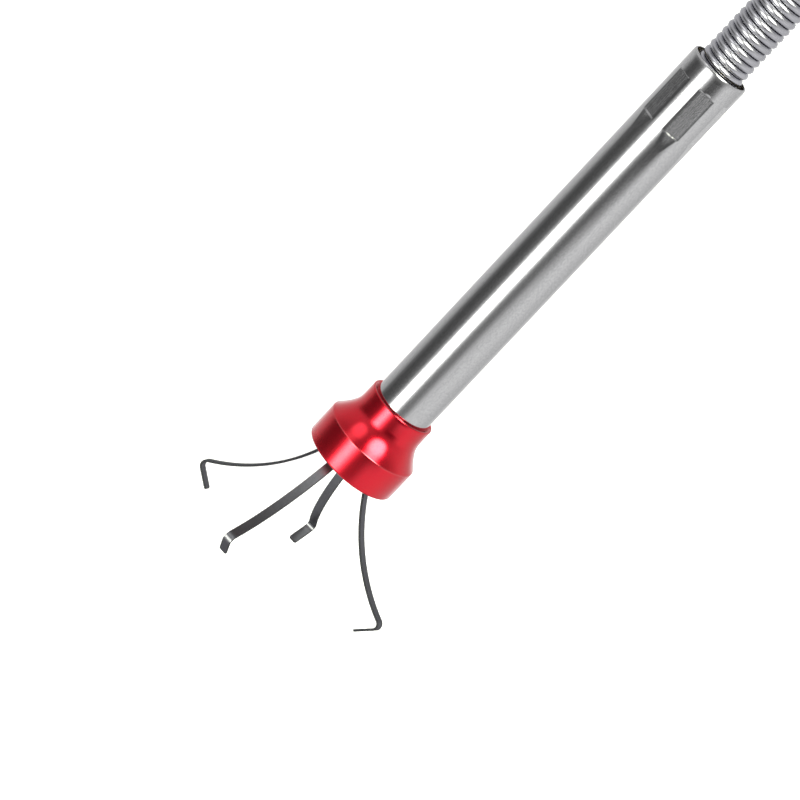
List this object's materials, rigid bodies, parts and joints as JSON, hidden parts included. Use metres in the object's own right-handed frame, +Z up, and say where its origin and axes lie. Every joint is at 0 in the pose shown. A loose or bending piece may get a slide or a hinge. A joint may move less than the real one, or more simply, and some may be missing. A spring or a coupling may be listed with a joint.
{
  "type": "spring claw pick-up tool",
  "caption": "Plunger-operated grabber: spring-steel claws with inward hooks open from a flared red collar on a polished tube, at the end of a flexible coil shaft.",
  "frame": {"origin": "middle of the bounding box in X and Y, on the plane the tool rests on", "axes": "+X along the tool towards the claws, +Z up, +Y to the left of someone looking along +X"},
  "size_m": [0.62, 0.054, 0.0411],
  "materials": {
    "red_anodised": "red anodised, satin gloss",
    "polished_steel": "polished stainless steel with fine lengthwise grain",
    "spring_steel": "dark tempered spring steel",
    "casing_steel": "bright close-wound spring wire",
    "brass": "turned brass",
    "rubber": "matte black rubber",
    "satin_aluminium": "satin",
    "dark_screw": "black oxide",
    "nylon": "natural nylon",
    "cable_steel": "stranded steel"
  },
  "bodies": {
    "handle": {"handle_barrel": "satin_aluminium", "nose_cone": "red_anodised", "nose_screw": "dark_screw", "rear_ferrule": "polished_steel", "grip_sleeve": "rubber", "finger_flange": "red_anodised", "flange_screw": "dark_screw", "rear_cap": "satin_aluminium", "stop_spacer": "satin_aluminium", "spring_seat": "polished_steel", "return_spring": "casing_steel", "casing_1": "casing_steel"},
    "plunger": {"plunger_rod": "polished_steel", "piston": "brass", "piston_screw": "dark_screw", "thumb_button": "red_anodised", "button_screw": "dark_screw", "bumper_ring": "rubber", "pull_cable": "cable_steel"},
    "shaft_2": {"casing_2": "casing_steel"},
    "shaft_3": {"casing_3": "casing_steel"},
    "shaft_4": {"casing_4": "casing_steel"},
    "shaft_5": {"casing_5": "casing_steel"},
    "shaft_6": {"casing_6": "casing_steel"},
    "shaft_7": {"casing_7": "casing_steel"},
    "shaft_8": {"casing_8": "casing_steel"},
    "shaft_9": {"casing_9": "casing_steel"},
    "head": {"casing_10": "casing_steel", "nozzle_collar": "red_anodised", "head_tube": "polished_steel", "crimp_insert": "brass", "cable_guide": "nylon"},
    "carrier": {"claw_ferrule": "brass", "ferrule_band": "polished_steel", "cable_end": "polished_steel"},
    "claw_1_root": {"claw_root_1": "spring_steel"},
    "claw_1_tip": {"claw_tip_1": "spring_steel"},
    "claw_2_root": {"claw_root_2": "spring_steel"},
    "claw_2_tip": {"claw_tip_2": "spring_steel"},
    "claw_3_root": {"claw_root_3": "spring_steel"},
    "claw_3_tip": {"claw_tip_3": "spring_steel"},
    "claw_4_root": {"claw_root_4": "spring_steel"},
    "claw_4_tip": {"claw_tip_4": "spring_steel"}
  },
  "joints": [
    {"name": "plunger_slide", "type": "slide", "parent": "handle", "child": "plunger", "axis": [-1, 0, 0], "range_m": [0, 0.025], "stiffness_N_per_m": 300, "springref_m": 0.045, "deforming": ["return_spring", "pull_cable"]},
    {"name": "shaft_bend_1", "type": "hinge", "parent": "handle", "child": "shaft_2", "pos_m": [-0.144, 0, 0.02], "axis": [0, 0, 1], "range_deg": [-20, 20], "stiffness_Nm_per_rad": 8},
    {"name": "shaft_bend_2", "type": "hinge", "parent": "shaft_2", "child": "shaft_3", "pos_m": [-0.1055, 0, 0.02], "axis": [0, -1, 0], "range_deg": [-20, 20], "stiffness_Nm_per_rad": 30},
    {"name": "shaft_bend_3", "type": "hinge", "parent": "shaft_3", "child": "shaft_4", "pos_m": [-0.067, 0, 0.02], "axis": [0, 0, 1], "range_deg": [-20, 20], "stiffness_Nm_per_rad": 8},
    {"name": "shaft_bend_4", "type": "hinge", "parent": "shaft_4", "child": "shaft_5", "pos_m": [-0.0285, 0, 0.02], "axis": [0, -1, 0], "range_deg": [-20, 20], "stiffness_Nm_per_rad": 30},
    {"name": "shaft_bend_5", "type": "hinge", "parent": "shaft_5", "child": "shaft_6", "pos_m": [0.01, 0, 0.02], "axis": [0, 0, 1], "range_deg": [-20, 20], "stiffness_Nm_per_rad": 8},
    {"name": "shaft_bend_6", "type": "hinge", "parent": "shaft_6", "child": "shaft_7", "pos_m": [0.0485, 0, 0.02], "axis": [0, -1, 0], "range_deg": [-20, 20], "stiffness_Nm_per_rad": 30},
    {"name": "shaft_bend_7", "type": "hinge", "parent": "shaft_7", "child": "shaft_8", "pos_m": [0.087, 0, 0.02], "axis": [0, 0, 1], "range_deg": [-20, 20], "stiffness_Nm_per_rad": 8},
    {"name": "shaft_bend_8", "type": "hinge", "parent": "shaft_8", "child": "shaft_9", "pos_m": [0.1255, 0, 0.02], "axis": [0, -1, 0], "range_deg": [-20, 20], "stiffness_Nm_per_rad": 30},
    {"name": "shaft_bend_9", "type": "hinge", "parent": "shaft_9", "child": "head", "pos_m": [0.164, 0, 0.02], "axis": [0, 0, 1], "range_deg": [-20, 20], "stiffness_Nm_per_rad": 8},
    {"name": "carrier_slide", "type": "slide", "parent": "head", "child": "carrier", "axis": [-1, 0, 0], "range_m": [0, 0.025]},
    {"name": "claw_1_close", "type": "hinge", "parent": "carrier", "child": "claw_1_root", "pos_m": [0.2763, -0.0019, 0.01823], "axis": [0, -0.682, 0.7314], "range_deg": [0, 20.7]},
    {"name": "claw_1_straighten", "type": "hinge", "parent": "claw_1_root", "child": "claw_1_tip", "pos_m": [0.29036, -0.00548, 0.01489], "axis": [0, -0.682, 0.7314], "range_deg": [0, 8]},
    {"name": "claw_2_close", "type": "hinge", "parent": "carrier", "child": "claw_2_root", "pos_m": [0.2763, -0.00252, 0.02118], "axis": [0, 0.7193, 0.6947], "range_deg": [0, 25.6]},
    {"name": "claw_2_straighten", "type": "hinge", "parent": "claw_2_root", "child": "claw_2_tip", "pos_m": [0.28964, -0.00687, 0.02568], "axis": [0, 0.7193, 0.6947], "range_deg": [0, 16]},
    {"name": "claw_3_close", "type": "hinge", "parent": "carrier", "child": "claw_3_root", "pos_m": [0.2763, 0.00085, 0.01727], "axis": [0, -0.742, -0.6704], "range_deg": [0, 18.8]},
    {"name": "claw_3_straighten", "type": "hinge", "parent": "claw_3_root", "child": "claw_3_tip", "pos_m": [0.29048, 0.00389, 0.0139], "axis": [0, -0.742, -0.6704], "range_deg": [0, 8]},
    {"name": "claw_4_close", "type": "hinge", "parent": "carrier", "child": "claw_4_root", "pos_m": [0.2763, 0.00164, 0.02202], "axis": [0, 0.7771, -0.6293], "range_deg": [0, 28.3]},
    {"name": "claw_4_straighten", "type": "hinge", "parent": "claw_4_root", "child": "claw_4_tip", "pos_m": [0.28951, 0.00568, 0.02702], "axis": [0, 0.7771, -0.6293], "range_deg": [0, 16]}
  ],
  "couplings": [
    {"joint": "shaft_bend_3", "follows": "shaft_bend_1", "ratio": 1},
    {"joint": "shaft_bend_4", "follows": "shaft_bend_2", "ratio": 1},
    {"joint": "shaft_bend_5", "follows": "shaft_bend_1", "ratio": 1},
    {"joint": "shaft_bend_6", "follows": "shaft_bend_2", "ratio": 1},
    {"joint": "shaft_bend_7", "follows": "shaft_bend_1", "ratio": 1},
    {"joint": "shaft_bend_8", "follows": "shaft_bend_2", "ratio": 1},
    {"joint": "shaft_bend_9", "follows": "shaft_bend_1", "ratio": 1},
    {"joint": "carrier_slide", "follows": "plunger_slide", "ratio": 1},
    {"joint": "claw_1_close", "follows": "plunger_slide", "rad_per_m": 14.451},
    {"joint": "claw_1_straighten", "follows": "plunger_slide", "rad_per_m": 5.585},
    {"joint": "claw_2_close", "follows": "plunger_slide", "rad_per_m": 17.872},
    {"joint": "claw_2_straighten", "follows": "plunger_slide", "rad_per_m": 11.17},
    {"joint": "claw_3_close", "follows": "plunger_slide", "rad_per_m": 13.125},
    {"joint": "claw_3_straighten", "follows": "plunger_slide", "rad_per_m": 5.585},
    {"joint": "claw_4_close", "follows": "plunger_slide", "rad_per_m": 19.757},
    {"joint": "claw_4_straighten", "follows": "plunger_slide", "rad_per_m": 11.17}
  ]
}
